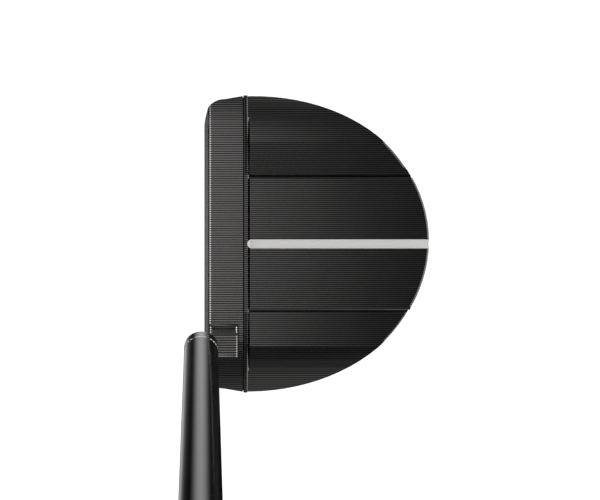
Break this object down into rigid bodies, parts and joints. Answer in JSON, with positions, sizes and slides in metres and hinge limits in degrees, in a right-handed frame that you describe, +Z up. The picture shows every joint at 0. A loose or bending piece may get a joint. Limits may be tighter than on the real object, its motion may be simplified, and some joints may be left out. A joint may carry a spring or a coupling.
{
  "type": "mallet putter",
  "caption": "Right-handed mallet putter: milled face bar with offset neck, rounded rear body with white sightline, leaning steel shaft and flat-front grip.",
  "frame": {"origin": "middle of the flat sole, on the ground, under the sightline and half way from leading edge to rear edge", "axes": "+Z up out of the ground, +Y from the striking face to the back of the head, +X from toe to heel; the shaft leans 20 degrees toward +X"},
  "size_m": [0.364, 0.0824, 0.8147],
  "materials": {
    "black_steel": "fine-milled steel with a satin black coating",
    "black_aluminium": "fine-milled aluminium, black anodised",
    "white_paint": "satin white paint fill",
    "screw_steel": "black oxide",
    "weight_steel": "turned, dark satin",
    "black_shaft": "smooth satin black coating",
    "epoxy": "cured epoxy",
    "paper_tape": "crepe paper tape",
    "grip_rubber": "matt rubber with a moulded fine texture",
    "cap_rubber": "smooth hard rubber"
  },
  "bodies": {
    "root": {"face_bar": "black_steel", "rear_body": "black_aluminium", "sightline_paint": "white_paint", "sole_plate": "black_aluminium", "sole_plate_screw_1": "screw_steel", "sole_plate_screw_2": "screw_steel", "sole_plate_screw_3": "screw_steel", "sole_plate_screw_4": "screw_steel", "sole_plate_screw_5": "screw_steel", "toe_weight": "weight_steel", "heel_weight": "weight_steel", "toe_joint_screw": "screw_steel", "heel_joint_screw": "screw_steel", "toe_dowel_pin": "screw_steel", "heel_dowel_pin": "screw_steel", "shaft": "black_shaft", "shaft_epoxy": "epoxy", "grip_tape": "paper_tape", "grip": "grip_rubber", "grip_cap": "cap_rubber"}
  },
  "joints": []
}
